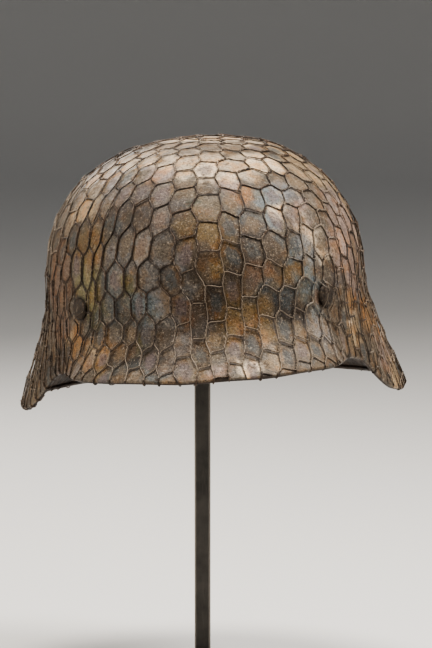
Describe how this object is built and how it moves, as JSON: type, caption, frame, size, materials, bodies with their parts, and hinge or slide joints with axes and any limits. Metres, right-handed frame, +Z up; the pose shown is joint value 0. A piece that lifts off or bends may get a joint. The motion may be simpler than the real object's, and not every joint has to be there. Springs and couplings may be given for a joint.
{
  "type": "steel combat helmet on a display stand",
  "caption": "Steel combat helmet with visor and flared skirt, worn paint and hooked wire netting, resting on a square post and base plate.",
  "frame": {"origin": "centre of the base plate's underside, on the surface that the stand rests on", "axes": "+Z up along the post; the visor points to -Y; +X is the wearer's left"},
  "size_m": [0.2396, 0.2902, 0.3457],
  "materials": {
    "camouflage_paint": "worn matt camouflage paint in tan, ochre, grey and green over rusted steel",
    "netting_wire": "rusted wire with traces of tan paint",
    "rivet_steel": "dark rusted paint",
    "stand_steel": "dark waxed steel, edges rubbed bright"
  },
  "bodies": {
    "root": {"shell": "camouflage_paint", "netting": "netting_wire", "rivet_front_left": "rivet_steel", "rivet_front_right": "rivet_steel", "rivet_rear": "rivet_steel", "crown_rest": "stand_steel", "post": "stand_steel", "base_plate": "stand_steel"}
  },
  "joints": []
}
